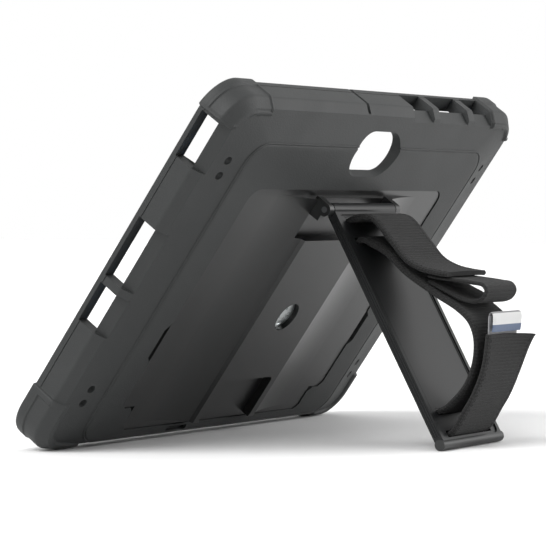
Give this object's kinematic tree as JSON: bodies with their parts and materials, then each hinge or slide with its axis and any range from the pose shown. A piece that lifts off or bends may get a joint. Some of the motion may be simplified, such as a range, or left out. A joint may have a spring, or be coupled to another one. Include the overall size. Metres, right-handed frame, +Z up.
{
  "type": "tablet case",
  "caption": "Rugged rectangular case for a flat computer, with proud corner bumpers, port openings, a hinged rear kickstand and a looped elastic hand strap.",
  "frame": {"origin": "under the middle of the whole object, on the surface that it stands on", "axes": "+Z up, X along the case's long side with the ports at +X, +Y towards the open kickstand; the case leans back 54.3 degrees from level, with its screen side towards -Y and up"},
  "size_m": [0.2724, 0.1888, 0.168],
  "materials": {
    "soft_shell": "matte, very fine grain",
    "hard_panel": "satin, fine grain",
    "band": "matte grey",
    "liner": "matte",
    "shock_pad": "matte soft",
    "foam": "open cell foam",
    "bright_steel": "satin",
    "pin_steel": "blackened",
    "stand_plastic": "semi gloss",
    "stand_foot": "satin",
    "strap": "ribbed elastic webbing",
    "tag": "woven tape"
  },
  "bodies": {
    "case": {"shell_back": "soft_shell", "shell_wall_top": "soft_shell", "shell_wall_bottom": "soft_shell", "shell_wall_right": "soft_shell", "shell_wall_left": "soft_shell", "corner_bumper_bottom_left": "soft_shell", "corner_bumper_bottom_right": "soft_shell", "corner_bumper_top_left": "soft_shell", "corner_bumper_top_right": "soft_shell", "cushion_fins": "soft_shell", "back_panel": "hard_panel", "reinforcing_band": "band", "centre_liner": "liner", "shock_pad_top_right": "shock_pad", "shock_pad_bottom_right": "shock_pad", "shock_pad_top_left": "shock_pad", "shock_pad_bottom_left": "shock_pad", "foam_pad": "foam", "magnet_plate": "bright_steel", "catch_magnets": "bright_steel", "badge_disc": "bright_steel", "hinge_ears": "hard_panel", "hinge_pin": "pin_steel", "hinge_washers": "pin_steel"},
    "kickstand": {"stand_leaf": "stand_plastic", "stand_foot": "stand_foot", "keeper_plate": "pin_steel", "strap_arch": "strap", "strap_upper_end": "strap", "strap_lower_end": "strap", "strap_turn_hinge": "strap", "strap_turn_foot": "strap", "strap_tag": "tag", "grab_loop": "strap"}
  },
  "joints": [
    {"name": "stand_hinge", "type": "hinge", "parent": "case", "child": "kickstand", "pos_m": [0, 0.01491, 0.11051], "axis": [-1, 0, 0], "range_deg": [0, 64.5]}
  ]
}
